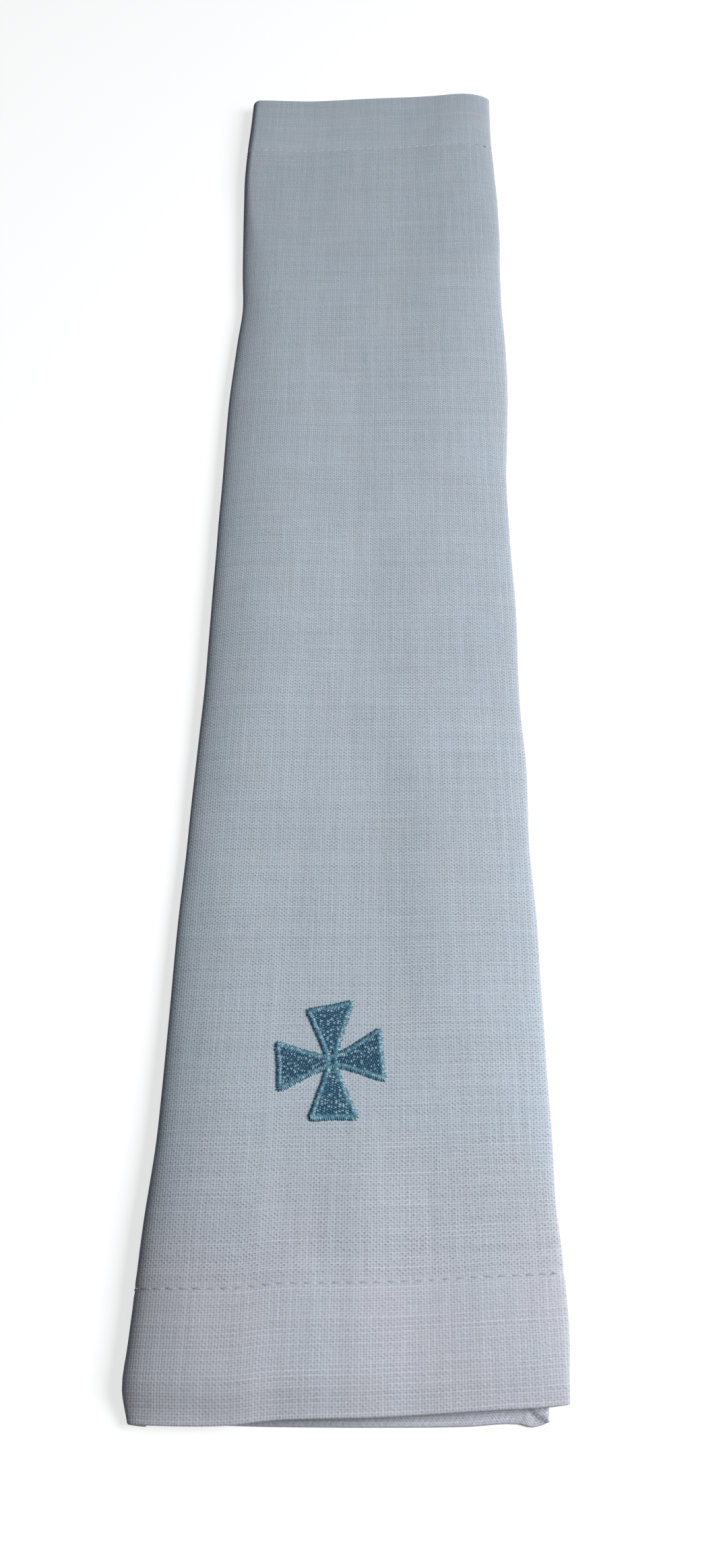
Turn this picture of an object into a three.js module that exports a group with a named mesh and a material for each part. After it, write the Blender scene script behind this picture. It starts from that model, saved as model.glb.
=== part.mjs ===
// Lavabo towel: a linen hand towel for the altar, about 290 x 500 mm, folded in three along its length and
// laid flat. It has a narrow hem on each long side and a deep hem at each end. An embroidered cross pattee
// is stitched near one end of the front panel.
//
// The sheet is one solid. Seen from its near end, it starts at a free edge on the lower right, runs left as
// the back panel, turns up round the left fold, runs right as the front panel, turns down round the right
// fold and runs back left between the two as the inner panel. The embroidery is a second thin solid.
//
// Millimetres. X across the folded towel, Y along it away from the near end, Z up.

import * as THREE from "three";
import { mergeVertices } from "three/addons/utils/BufferGeometryUtils.js";

// Driving dimensions of the flat towel.
const NEAR_END = -250;
const FAR_END = 253;
const CLOTH_THICKNESS = 1.0;
const HEM_EXTRA = 0.4; // the turned-in cloth of a hem stands on the wrong side
const NEAR_HEM = 29.6;
const FAR_HEM = 35.6;
const SIDE_HEM = 6;
const HEM_STEP = 1.2; // how quickly a hem's extra thickness ends

// How the three panels lie.
const BACK_FREE_EDGE_FROM_RIGHT = 4.6; // the right fold overhangs the back panel's free edge
const INNER_FREE_EDGE_FROM_LEFT = 4.5;
const INNER_PANEL_HEIGHT = 1.9; // underside of the inner panel, just clear of the back panel's side hem
const LEFT_FOLD_WAIST = 0.5; // a fold's outermost line lies this share of the way up it
const RIGHT_FOLD_WAIST = 0.62;
const LEFT_FOLD_UNDER = 4.5; // reach of a fold's lower quarter, from its outermost line to its foot
const RIGHT_FOLD_UNDER = 5;
const SHOULDER = 24; // the front panel passes from a fold's crown to its middle height over this run

// Where the folds' outermost lines lie, at stations along the towel.
const OUTLINE = [
  { y: -250, left: -50.0, right: 49.2 },
  { y: -243, left: -51.6, right: 49.4 },
  { y: -234, left: -51.3, right: 49.9 },
  { y: -219, left: -50.8, right: 49.4 },
  { y: -205, left: -50.3, right: 48.6 },
  { y: -188, left: -49.2, right: 48.6 },
  { y: -172, left: -49.0, right: 48.4 },
  { y: -150, left: -49.0, right: 48.1 },
  { y: -125, left: -49.0, right: 48.1 },
  { y: -104, left: -48.5, right: 47.4 },
  { y: -78, left: -48.2, right: 47.9 },
  { y: -55, left: -47.6, right: 47.1 },
  { y: -20, left: -47.7, right: 47.6 },
  { y: 10, left: -47.9, right: 47.1 },
  { y: 40, left: -48.0, right: 47.2 },
  { y: 62, left: -48.2, right: 48.6 },
  { y: 82, left: -48.0, right: 49.4 },
  { y: 106, left: -47.1, right: 49.4 },
  { y: 124, left: -46.3, right: 49.0 },
  { y: 142, left: -47.4, right: 49.3 },
  { y: 168, left: -48.7, right: 49.9 },
  { y: 188, left: -49.6, right: 49.9 },
  { y: 204, left: -50.1, right: 49.4 },
  { y: 226, left: -49.8, right: 48.9 },
  { y: 240, left: -49.5, right: 49.0 },
  { y: 253, left: -49.2, right: 49.2 },
];

// How high the front panel stands at each fold's crown and between them, and how far in each crown lies.
const HEIGHTS = [
  { y: -250, leftCrown: 7.7, middle: 7.3, rightCrown: 5.9, leftReach: 14, rightReach: 29 },
  { y: -204, leftCrown: 8.1, middle: 7.6, rightCrown: 6.5, leftReach: 17, rightReach: 28.5 },
  { y: -150, leftCrown: 6.9, middle: 6.5, rightCrown: 7.1, leftReach: 19, rightReach: 26 },
  { y: -105, leftCrown: 6.0, middle: 5.7, rightCrown: 6.6, leftReach: 17, rightReach: 25 },
  { y: -50, leftCrown: 6.9, middle: 6.1, rightCrown: 6.3, leftReach: 18.5, rightReach: 29 },
  { y: 40, leftCrown: 6.7, middle: 6.1, rightCrown: 6.2, leftReach: 20, rightReach: 28 },
  { y: 124, leftCrown: 6.0, middle: 5.7, rightCrown: 6.5, leftReach: 14, rightReach: 17 },
  { y: 190, leftCrown: 5.6, middle: 5.4, rightCrown: 6.2, leftReach: 3.2, rightReach: 13 },
  { y: 226, leftCrown: 6.7, middle: 5.8, rightCrown: 6.5, leftReach: 3.2, rightReach: 15 },
  { y: 253, leftCrown: 6.5, middle: 5.9, rightCrown: 6.6, leftReach: 3, rightReach: 11 },
];

// The panels' ends don't quite line up: how far each is drawn along the towel at places across it.
const NEAR_DRAWN = [
  { x: -50, back: -0.6, front: -0.5, inner: 6.5 },
  { x: -40, back: -0.3, front: -0.1, inner: 6.5 },
  { x: -20, back: -0.2, front: 0, inner: 6.5 },
  { x: 5, back: 0, front: 1.7, inner: 6.5 },
  { x: 26, back: -0.8, front: 3.3, inner: 6 },
  { x: 37, back: 0.8, front: 4, inner: 5.5 },
  { x: 41, back: 0.2, front: 4.2, inner: 5 },
  { x: 50, back: 3.2, front: 4.7, inner: 4.7 },
];
const FAR_DRAWN = [
  { x: -50, back: -1.5, front: -1.2, inner: -2 },
  { x: -25, back: -2, front: -1.5, inner: -2 },
  { x: 0, back: -2.5, front: 0, inner: -1.5 },
  { x: 25, back: -3, front: 0.9, inner: -0.5 },
  { x: 42, back: -3.5, front: 1, inner: 0 },
  { x: 50, back: -3.5, front: -1, inner: 0.5 },
];
const DRAWN_REACH = 170; // each end's drawing has died out this far along the towel

// Soft troughs (rise below zero) and ridges in the front panel, each along a line.
const CREASES = [
  { name: "long trough, far half", fromX: -2, fromY: 74, toX: 3, toY: -10, halfWidth: 11, rise: -0.1 },
  { name: "long trough, near half", fromX: 2, fromY: 0, toX: 10, toY: -150, halfWidth: 16, rise: -0.35 },
  { name: "shallow trough beside it", fromX: 17, fromY: 60, toX: 27, toY: -150, halfWidth: 15, rise: -0.2 },
  { name: "dip across the far end", fromX: 2, fromY: 172, toX: 44, toY: 166, halfWidth: 20, rise: -0.35 },
  { name: "pull at the left fold", fromX: -44, fromY: 124, toX: -14, toY: 112, halfWidth: 14, rise: -0.2 },
  { name: "pull above the cross", fromX: -40, fromY: -96, toX: -8, toY: -112, halfWidth: 12, rise: -0.25 },
  { name: "swell at the far right corner", fromX: 41, fromY: 262, toX: 27, toY: 205, halfWidth: 12, rise: 0.3 },
  { name: "dimple in the near hem", fromX: -27, fromY: -256, toX: -31, toY: -228, halfWidth: 8, rise: -0.3 },
  { name: "swell in the near hem", fromX: -10, fromY: -246, toX: -14, toY: -222, halfWidth: 12, rise: 0.5 },
];

// The embroidered cross: four arms that flare from narrow waists. Each arm's direction is in degrees, and
// its end leans a little from square.
const CROSS = { x: -6.1, y: -167, thickness: 0.6, gap: 0.35, inner: 2.6, hollow: 0.35, flare: 1.12 };
const ARMS = [
  { direction: 94, reach: 15.9, waist: 3.9, end: 13.7, lean: 8 },
  { direction: 186, reach: 14.4, waist: 4.5, end: 14.7, lean: -1 },
  { direction: 273, reach: 15.6, waist: 3.9, end: 13.8, lean: -1 },
  { direction: 368, reach: 13.8, waist: 4.5, end: 15.9, lean: -3 },
];
const CROSS_RINGS = 3;
const ARM_SIDE_STEPS = 5;
const ARM_END_STEPS = 5;

// How finely each stretch of the sheet is stepped.
const FLAT_STEPS = 3;
const FOLD_STEPS = 8;
const FRONT_STEPS = 18;
const OPEN_STATIONS = 38;

const LINEN = new THREE.MeshStandardMaterial({ color: 0xb4bdc6, roughness: 0.9, metalness: 0, name: "linen" });
const THREAD = new THREE.MeshStandardMaterial({ color: 0x42819f, roughness: 0.5, metalness: 0, name: "thread" });

const QUARTER = Math.PI / 2;

// Zero below 0, one above 1, and level at both.
const smooth = (t) => THREE.MathUtils.smoothstep(t, 0, 1);

// A table's columns as smooth curves over its first one.
function curvesOf(table, over) {
  const columns = Object.keys(table[0]).filter((column) => column !== over);
  const curves = new THREE.CubicInterpolant(
    table.map((row) => row[over]),
    table.flatMap((row) => columns.map((column) => row[column])),
    columns.length,
  );
  return (place) => {
    const values = curves.evaluate(place);
    return Object.fromEntries(columns.map((column, k) => [column, values[k]]));
  };
}

const outlineAt = curvesOf(OUTLINE, "y");
const heightsAt = curvesOf(HEIGHTS, "y");
const nearDrawnAt = curvesOf(NEAR_DRAWN, "x");
const farDrawnAt = curvesOf(FAR_DRAWN, "x");

// One section of the folded towel, with the places of its two crowns.
function sectionAt(y) {
  const section = { ...outlineAt(y), ...heightsAt(y) };
  section.leftCrownX = section.left + section.leftReach;
  section.rightCrownX = section.right - section.rightReach;
  return section;
}

// The rise that the troughs and ridges give the front panel at a point.
function creaseRise(x, y) {
  let rise = 0;
  for (const crease of CREASES) {
    const alongX = crease.toX - crease.fromX;
    const alongY = crease.toY - crease.fromY;
    const length = Math.hypot(alongX, alongY);
    const along = ((x - crease.fromX) * alongX + (y - crease.fromY) * alongY) / length;
    const off = ((x - crease.fromX) * alongY - (y - crease.fromY) * alongX) / length;
    const past = Math.max(-along, along - length, 0);
    rise += crease.rise * (1 - smooth(Math.hypot(off, past) / crease.halfWidth));
  }
  return rise;
}

// The height of the front panel's upper face.
function frontHeight(x, y, section) {
  const atLeft = 1 - smooth((x - section.leftCrownX) / SHOULDER);
  const atRight = 1 - smooth((section.rightCrownX - x) / SHOULDER);
  return (
    section.middle +
    (section.leftCrown - section.middle) * atLeft +
    (section.rightCrown - section.middle) * atRight +
    creaseRise(x, y)
  );
}

// A point on a fold, which is two quarter ellipses, one over and one under its outermost line. The turn
// runs from -90 degrees at the foot to 90 at the crown. The side is -1 at the left fold and 1 at the right
// one. The depth is how far inside the cloth's right side the point lies.
function foldPoint(side, fold, turn, depth) {
  const waist = THREE.MathUtils.lerp(fold.foot, fold.crown, fold.waist);
  const reach = turn < 0 ? fold.under : fold.over;
  const height = turn < 0 ? waist - fold.foot : fold.crown - waist;
  return {
    x: fold.outermost - side * (reach - (reach - depth) * Math.cos(turn)),
    z: waist + (height - depth) * Math.sin(turn),
  };
}

// The sheet's five stretches. Each gives the point at a share of its run and a depth inside the right side.
const STRETCHES = {
  back(share, depth, y, section) {
    const from = section.right - BACK_FREE_EDGE_FROM_RIGHT;
    return { x: THREE.MathUtils.lerp(from, section.left + LEFT_FOLD_UNDER, share), z: depth };
  },
  leftFold(share, depth, y, section) {
    const fold = {
      outermost: section.left,
      over: section.leftReach,
      under: LEFT_FOLD_UNDER,
      foot: 0,
      waist: LEFT_FOLD_WAIST,
      crown: frontHeight(section.leftCrownX, y, section),
    };
    return foldPoint(-1, fold, THREE.MathUtils.lerp(-QUARTER, QUARTER, share), depth);
  },
  front(share, depth, y, section) {
    const x = THREE.MathUtils.lerp(section.leftCrownX, section.rightCrownX, share);
    return { x, z: frontHeight(x, y, section) - depth };
  },
  rightFold(share, depth, y, section) {
    const fold = {
      outermost: section.right,
      over: section.rightReach,
      under: RIGHT_FOLD_UNDER,
      foot: INNER_PANEL_HEIGHT,
      waist: RIGHT_FOLD_WAIST,
      crown: frontHeight(section.rightCrownX, y, section),
    };
    return foldPoint(1, fold, THREE.MathUtils.lerp(QUARTER, -QUARTER, share), depth);
  },
  inner(share, depth, y, section) {
    const from = section.right - RIGHT_FOLD_UNDER;
    const to = section.left + INNER_FREE_EDGE_FROM_LEFT;
    return { x: THREE.MathUtils.lerp(from, to, share), z: INNER_PANEL_HEIGHT + depth };
  },
};

// The sheet's columns, from the back panel's free edge to the inner panel's. A side hem ends in two
// columns close together.
function sheetColumns() {
  const columns = [];
  const add = (stretch, share, hem = false) => columns.push({ stretch, share, hem });
  const hem = SIDE_HEM / 90;
  const past = (SIDE_HEM + HEM_STEP) / 90;
  add("back", 0, true);
  add("back", hem, true);
  for (let k = 0; k <= FLAT_STEPS; k++) add("back", THREE.MathUtils.lerp(past, 1, k / FLAT_STEPS));
  for (let k = 1; k <= FOLD_STEPS; k++) add("leftFold", k / FOLD_STEPS);
  for (let k = 1; k <= FRONT_STEPS; k++) add("front", k / FRONT_STEPS);
  for (let k = 1; k <= FOLD_STEPS; k++) add("rightFold", k / FOLD_STEPS);
  for (let k = 1; k <= FLAT_STEPS; k++) add("inner", THREE.MathUtils.lerp(0, 1 - past, k / FLAT_STEPS));
  add("inner", 1 - hem, true);
  add("inner", 1, true);
  return columns;
}

// The sheet's stations along the towel. A hem has a few, and ends in two close together.
function sheetStations() {
  const stations = [];
  const add = (y, hem = false) => stations.push({ y, hem });
  const from = NEAR_END + NEAR_HEM;
  const to = FAR_END - FAR_HEM;
  for (const share of [0, 0.14, 0.3, 0.6, 1]) add(THREE.MathUtils.lerp(NEAR_END, from, share), true);
  for (let k = 0; k <= OPEN_STATIONS; k++) {
    add(THREE.MathUtils.lerp(from + HEM_STEP, to - HEM_STEP, k / OPEN_STATIONS));
  }
  for (const share of [0, 0.5, 0.8, 1]) add(THREE.MathUtils.lerp(to, FAR_END, share), true);
  return stations;
}

// Where a point of the flat towel's length comes to lie once its panel's ends are drawn.
function drawnY(stretch, x, y) {
  const panel = stretch.endsWith("Fold") ? "front" : stretch;
  const near = nearDrawnAt(x)[panel] * (1 - smooth((y - NEAR_END) / DRAWN_REACH));
  const far = farDrawnAt(x)[panel] * (1 - smooth((FAR_END - y) / DRAWN_REACH));
  return y + near + far;
}

// One station's points, on the cloth's right side and on its wrong side.
function stationPoints(columns, station) {
  const section = sectionAt(station.y);
  return columns.map((column) => {
    const place = STRETCHES[column.stretch];
    const thickness = CLOTH_THICKNESS + (station.hem || column.hem ? HEM_EXTRA : 0);
    const right = place(column.share, 0, station.y, section);
    const wrong = place(column.share, thickness, station.y, section);
    const y = drawnY(column.stretch, right.x, station.y);
    return { right: [right.x, y, right.z], wrong: [wrong.x, y, wrong.z] };
  });
}

// A solid's geometry keeps only its merged points and its triangles.
function closed(geometry) {
  geometry.deleteAttribute("uv");
  geometry.deleteAttribute("normal");
  const merged = mergeVertices(geometry, 1e-4);
  merged.computeVertexNormals();
  return merged;
}

// The flat sheet is a thin box, and each of its points is carried to where it lies when folded.
function foldedSheet() {
  const columns = sheetColumns();
  const stations = sheetStations();
  const across = columns.length - 1;
  const along = stations.length - 1;
  const points = stations.map((station) => stationPoints(columns, station));
  const sheet = new THREE.BoxGeometry(across, along, 1, across, along, 1);
  const position = sheet.getAttribute("position");
  for (let n = 0; n < position.count; n++) {
    const k = Math.round(position.getX(n) + across / 2);
    const j = Math.round(position.getY(n) + along / 2);
    const side = position.getZ(n) > 0 ? "right" : "wrong";
    position.setXYZ(n, ...points[j][k][side]);
  }
  return closed(sheet);
}

// The outline of one arm, anticlockwise from its waist, with its inner corner first.
function armOutline(arm, next) {
  const centre = new THREE.Vector2();
  const points = [];
  for (let k = 1; k < ARM_SIDE_STEPS; k++) {
    const share = k / ARM_SIDE_STEPS;
    const half = THREE.MathUtils.lerp(arm.waist, arm.end, share ** CROSS.flare) / 2;
    points.push(new THREE.Vector2(half, THREE.MathUtils.lerp(CROSS.inner * 0.8, arm.reach, share)));
  }
  const lean = Math.tan(THREE.MathUtils.degToRad(arm.lean));
  for (let k = 0; k <= ARM_END_STEPS; k++) {
    const share = 1 - (2 * k) / ARM_END_STEPS;
    const x = (arm.end / 2) * share;
    points.push(new THREE.Vector2(x, arm.reach + lean * x - CROSS.hollow * (1 - share ** 2)));
  }
  for (let k = ARM_SIDE_STEPS - 2; k >= 0; k--) points.push(new THREE.Vector2(-points[k].x, points[k].y));
  const turn = THREE.MathUtils.degToRad(arm.direction) - QUARTER;
  points.forEach((point) => point.rotateAround(centre, turn));
  const between = THREE.MathUtils.degToRad((arm.direction + next) / 2);
  points.push(new THREE.Vector2(Math.cos(between), Math.sin(between)).multiplyScalar(CROSS.inner));
  return points;
}

// The embroidery is a lathed disc whose rim is drawn to the cross's outline, laid on the front panel.
function embroidery() {
  const outline = ARMS.flatMap((arm, k) => {
    const next = ARMS[(k + 1) % ARMS.length].direction + (k + 1 === ARMS.length ? 360 : 0);
    return armOutline(arm, next);
  });
  const profile = [];
  for (let ring = 0; ring <= CROSS_RINGS; ring++) profile.push(new THREE.Vector2(ring / CROSS_RINGS, 0));
  for (let ring = CROSS_RINGS; ring >= 0; ring--) profile.push(new THREE.Vector2(ring / CROSS_RINGS, 1));
  const disc = new THREE.LatheGeometry(profile, outline.length);
  const position = disc.getAttribute("position");
  for (let n = 0; n < position.count; n++) {
    const angle = Math.atan2(-position.getX(n), -position.getZ(n));
    const k = Math.round((angle / (2 * Math.PI)) * outline.length + outline.length) % outline.length;
    const radius = Math.hypot(position.getX(n), position.getZ(n));
    const x = CROSS.x + outline[k].x * radius;
    const y = CROSS.y + outline[k].y * radius;
    const foot = frontHeight(x, y, sectionAt(y)) + CROSS.gap;
    position.setXYZ(n, x, y, foot + position.getY(n) * CROSS.thickness);
  }
  return closed(disc);
}

function piece(name, geometry, material) {
  const mesh = new THREE.Mesh(geometry, material);
  mesh.name = name;
  return mesh;
}

const laid = new THREE.Group();
laid.add(piece("towel", foldedSheet(), LINEN));
laid.add(piece("embroidered_cross", embroidery(), THREAD));

// The origin is the middle of the resting face's bounding box.
const bounds = new THREE.Box3().setFromObject(laid);
const middle = bounds.getCenter(new THREE.Vector3());
laid.position.set(-middle.x, -middle.y, -bounds.min.z);

const lavaboTowel = new THREE.Group();
lavaboTowel.add(laid);

export default lavaboTowel;
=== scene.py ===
# A lavabo towel, the small linen towel that dries the hands at the altar. It is folded in three along its
# length and laid flat, with the end that bears an embroidered cross towards the camera. Sizes are in
# millimetres, X across the towel, Y along it and Z up, and become metres where a mesh is made.

import math

import bpy
import numpy as np
from mathutils import Matrix, Vector


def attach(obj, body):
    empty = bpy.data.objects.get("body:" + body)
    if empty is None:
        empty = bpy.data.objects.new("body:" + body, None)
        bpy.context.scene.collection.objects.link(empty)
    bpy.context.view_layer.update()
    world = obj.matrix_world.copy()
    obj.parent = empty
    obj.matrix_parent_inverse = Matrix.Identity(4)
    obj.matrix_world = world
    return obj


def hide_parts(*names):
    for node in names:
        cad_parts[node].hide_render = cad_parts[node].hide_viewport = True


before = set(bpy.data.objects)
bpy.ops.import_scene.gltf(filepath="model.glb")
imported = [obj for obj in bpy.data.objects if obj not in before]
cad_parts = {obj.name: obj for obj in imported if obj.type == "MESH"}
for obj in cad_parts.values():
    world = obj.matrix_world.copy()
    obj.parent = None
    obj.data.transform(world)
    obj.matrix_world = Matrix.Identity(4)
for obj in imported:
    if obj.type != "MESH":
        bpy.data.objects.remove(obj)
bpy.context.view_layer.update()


# The folded cloth. It is one rectangle of white plain-weave linen, hemmed all round with mitred corners.
# Its three panels lie as the back panel, the inner one on that and the front one over both. Ironing has
# left the folds soft, and the panels' ends don't quite line up.

MM = 0.001
FRAME_SHIFT = (0.865, -1.890, 0.0)  # from the tables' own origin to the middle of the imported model's box

NEAR_END = -250.0
FAR_END = 253.0
CLOTH_THICKNESS = 0.45
HEM_THICKNESS = 0.9
NEAR_HEM = 29.6
FAR_HEM = 35.6
SIDE_HEM = 6.0
HEM_STEP = 0.5

BACK_FREE_EDGE_FROM_RIGHT = 4.6
INNER_FREE_EDGE_FROM_LEFT = 4.5
INNER_PANEL_HEIGHT = 1.9
LEFT_FOLD_WAIST = 0.5  # the share of its height at which a fold lies outermost
RIGHT_FOLD_WAIST = 0.62
LEFT_FOLD_UNDER = 4.5
RIGHT_FOLD_UNDER = 5.0
SHOULDER = 24.0


def rows(names, *values):
    """A table as a list of its rows, each a dictionary of the named columns."""
    return [dict(zip(names.split(), row)) for row in values]


# The folded towel's outline, as its leftmost and rightmost lines at places along it.
OUTLINE = rows(
    "y left right",
    (-250, -50.0, 49.2),
    (-243, -51.6, 49.4),
    (-234, -51.3, 49.9),
    (-219, -50.8, 49.4),
    (-205, -50.3, 48.6),
    (-188, -49.2, 48.6),
    (-172, -49.0, 48.4),
    (-150, -49.0, 48.1),
    (-125, -49.0, 48.1),
    (-104, -48.5, 47.4),
    (-78, -48.2, 47.9),
    (-55, -47.6, 47.1),
    (-20, -47.7, 47.6),
    (10, -47.9, 47.1),
    (40, -48.0, 47.2),
    (62, -48.2, 48.6),
    (82, -48.0, 49.4),
    (106, -47.1, 49.4),
    (124, -46.3, 49.0),
    (142, -47.4, 49.3),
    (168, -48.7, 49.9),
    (188, -49.6, 49.9),
    (204, -50.1, 49.4),
    (226, -49.8, 48.9),
    (240, -49.5, 49.0),
    (253, -49.2, 49.2),
)

# Heights of the front panel at its middle and at the crowns of its two folds, and the folds' widths.
HEIGHTS = rows(
    "y left_crown middle right_crown left_reach right_reach",
    (-250, 8.7, 7.3, 5.9, 19, 29),
    (-204, 8.6, 7.6, 6.5, 19.5, 28.5),
    (-150, 6.9, 6.5, 7.1, 19, 26),
    (-105, 6.0, 5.7, 6.6, 17, 25),
    (-50, 6.9, 6.1, 6.3, 18.5, 29),
    (40, 6.7, 6.1, 6.2, 20, 28),
    (124, 6.0, 5.7, 6.5, 14, 17),
    (190, 5.6, 5.4, 6.2, 3.2, 13),
    (226, 6.7, 5.8, 6.5, 3.2, 15),
    (253, 6.5, 5.9, 6.6, 3, 11),
)

# How far each panel's end is drawn along the towel at its two ends.
NEAR_DRAWN = rows(
    "x back front inner",
    (-50, 0.2, -0.3, 6.5),
    (-44, 0.2, -0.6, 6.5),
    (-26, -0.1, -0.4, 6.5),
    (-19, -0.2, 0.5, 6.5),
    (5, -0.1, 1.5, 6.5),
    (26, 0.3, 2.9, 6),
    (37, 0.95, 3.7, 5.5),
    (41, 0.35, 3.9, 5),
    (50, 4.2, 4.8, 4.7),
)
FAR_DRAWN = rows(
    "x back front inner",
    (-50, -1.5, -1.2, -2),
    (-25, -2, -1.5, -2),
    (0, -2.5, 0, -1.5),
    (25, -3, 0.9, -0.5),
    (42, -3.5, 1, 0),
    (50, -3.5, -1, 0.5),
)
DRAWN_REACH = 170.0

# The front panel's near end sinks onto the layers under it, most at the left.
NEAR_SINK = 2.65
NEAR_SINK_SLOPE = -0.0375
NEAR_SINK_REACH = 9.0

# Soft troughs, whose rise is below zero, and ridges, each along a line on the front panel.
CREASES = rows(
    "name start end half_width rise",
    ("long trough, far half", (-2, 74), (3, -10), 11, -0.1),
    ("long trough, near half", (2, 0), (10, -150), 16, -0.35),
    ("shallow trough beside it", (17, 60), (27, -150), 15, -0.2),
    ("dip across the far end", (2, 172), (44, 166), 20, -0.35),
    ("pull at the left fold", (-44, 124), (-14, 112), 14, -0.2),
    ("pull above the cross", (-40, -96), (-8, -112), 12, -0.25),
    ("swell at the far right corner", (41, 262), (27, 205), 12, 0.3),
    ("fall to the left fold, near end", (-46, -256), (-46, -205), 23, -0.8),
    ("dimple in the near hem", (-27, -256), (-31, -228), 8, -0.3),
    ("swell in the near hem", (-10, -246), (-14, -222), 12, 0.5),
)

# What the iron leaves: low ripples over the whole cloth, and small puckers along each seam.
RIPPLE_LENGTHS = (21.0, 34.0, 55.0)
RIPPLE_HEIGHT = 0.05
RIPPLE_SEED = 11
PUCKER_LENGTHS = (3.7, 5.9, 9.4)
PUCKER_HEIGHT = 0.035
PUCKER_SEED = 12
PUCKER_REACH = 5.0
WAVES_PER_LENGTH = 4
SEAM_FROM_HEM_EDGE = 1.2
SEAM_GROOVE_DEPTH = 0.14
SEAM_GROOVE_WIDTH = 0.8
MITRE_START = 0.6
MITRE_RISE = 0.5
MITRE_LINE_WIDTH = 0.4

PANEL_STEP = 2.4
LENGTH_STEP = 2.6
CORNER_START = 1.0
CORNER_STEP = 0.6
CORNER_PAST_HEM = 1.5
RIM_TURNS = (22.5, 45, 67.5, 90)
SEAM_STEPS = (-1.6, -0.8, -0.35, 0, 0.35, 0.8)
FOLD_STEPS = 18


def smooth(t):
    t = np.clip(t, 0, 1)
    return t * t * (3 - 2 * t)


def curve_of(table, over, column):
    """A table's column as a curve, which passes each row at the mean of the slopes on its two sides."""
    at = np.array([row[over] for row in table], float)
    value = np.array([row[column] for row in table], float)
    secant = np.diff(value) / np.diff(at)
    slope = np.concatenate([secant[:1], (secant[1:] + secant[:-1]) / 2, secant[-1:]])

    def curve(place):
        place = np.clip(place, at[0], at[-1])
        k = np.clip(np.searchsorted(at, place) - 1, 0, len(at) - 2)
        run = at[k + 1] - at[k]
        t = (place - at[k]) / run
        straight = value[k] * (1 + 2 * t) * (1 - t) ** 2 + value[k + 1] * t**2 * (3 - 2 * t)
        return straight + run * t * (1 - t) * (slope[k] * (1 - t) - slope[k + 1] * t)

    return curve


def curves_of(table, over):
    return {column: curve_of(table, over, column) for column in table[0] if column != over}


outline_curves = curves_of(OUTLINE, "y")
height_curves = curves_of(HEIGHTS, "y")
near_drawn_curves = curves_of(NEAR_DRAWN, "x")
far_drawn_curves = curves_of(FAR_DRAWN, "x")


def section_at(y):
    section = {name: curve(y) for name, curve in {**outline_curves, **height_curves}.items()}
    section["left_crown_x"] = section["left"] + section["left_reach"]
    section["right_crown_x"] = section["right"] - section["right_reach"]
    return section


def crease_rise(x, y):
    rise = 0.0
    for crease in CREASES:
        (x0, y0), (x1, y1) = crease["start"], crease["end"]
        length = math.hypot(x1 - x0, y1 - y0)
        along = ((x - x0) * (x1 - x0) + (y - y0) * (y1 - y0)) / length
        off = ((x - x0) * (y1 - y0) - (y - y0) * (x1 - x0)) / length
        past = np.maximum(np.maximum(-along, along - length), 0)
        rise = rise + crease["rise"] * (1 - smooth(np.hypot(off, past) / crease["half_width"]))
    return rise


def front_height(x, y, section):
    at_left = 1 - smooth((x - section["left_crown_x"]) / SHOULDER)
    at_right = 1 - smooth((section["right_crown_x"] - x) / SHOULDER)
    left_rise = (section["left_crown"] - section["middle"]) * at_left
    right_rise = (section["right_crown"] - section["middle"]) * at_right
    sink = (NEAR_SINK + NEAR_SINK_SLOPE * x) * (1 - smooth((y - NEAR_END) / NEAR_SINK_REACH))
    return section["middle"] + left_rise + right_rise + crease_rise(x, y) - sink


def fold_point(side, fold, turn, depth):
    """A point of a fold, which is two quarter ellipses, one over and one under its outermost line."""
    waist = fold["foot"] + (fold["crown"] - fold["foot"]) * fold["waist"]
    reach = np.where(turn < 0, fold["under"], fold["over"])
    height = np.where(turn < 0, waist - fold["foot"], fold["crown"] - waist)
    x = fold["outermost"] - side * (reach - (reach - depth) * np.cos(turn))
    return x, waist + (height - depth) * np.sin(turn)


def sheet_point(stretch, share, depth, y):
    """X and Z at a share of one stretch of the sheet's section, at a depth inside its right side."""
    section = section_at(y)
    left, right = section["left"], section["right"]
    if stretch == "back":
        start, end = right - BACK_FREE_EDGE_FROM_RIGHT, left + LEFT_FOLD_UNDER
        return start + (end - start) * share, depth + 0 * y
    if stretch == "left fold":
        crown = front_height(section["left_crown_x"], y, section)
        fold = dict(outermost=left, over=section["left_reach"], under=LEFT_FOLD_UNDER)
        fold.update(foot=0, waist=LEFT_FOLD_WAIST, crown=crown)
        return fold_point(-1, fold, math.pi * (share - 0.5), depth)
    if stretch == "front":
        start, end = section["left_crown_x"], section["right_crown_x"]
        x = start + (end - start) * share
        return x, front_height(x, y, section) - depth
    if stretch == "right fold":
        crown = front_height(section["right_crown_x"], y, section)
        fold = dict(outermost=right, over=section["right_reach"], under=RIGHT_FOLD_UNDER)
        fold.update(foot=INNER_PANEL_HEIGHT, waist=RIGHT_FOLD_WAIST, crown=crown)
        return fold_point(1, fold, math.pi * (0.5 - share), depth)
    start, end = right - RIGHT_FOLD_UNDER, left + INNER_FREE_EDGE_FROM_LEFT
    return start + (end - start) * share, INNER_PANEL_HEIGHT + depth + 0 * y


def drawn_y(stretch, x, y):
    panel = "front" if stretch.endswith("fold") else stretch
    near = near_drawn_curves[panel](x) * (1 - smooth((y - NEAR_END) / DRAWN_REACH))
    far = far_drawn_curves[panel](x) * (1 - smooth((FAR_END - y) / DRAWN_REACH))
    return y + near + far


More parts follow.
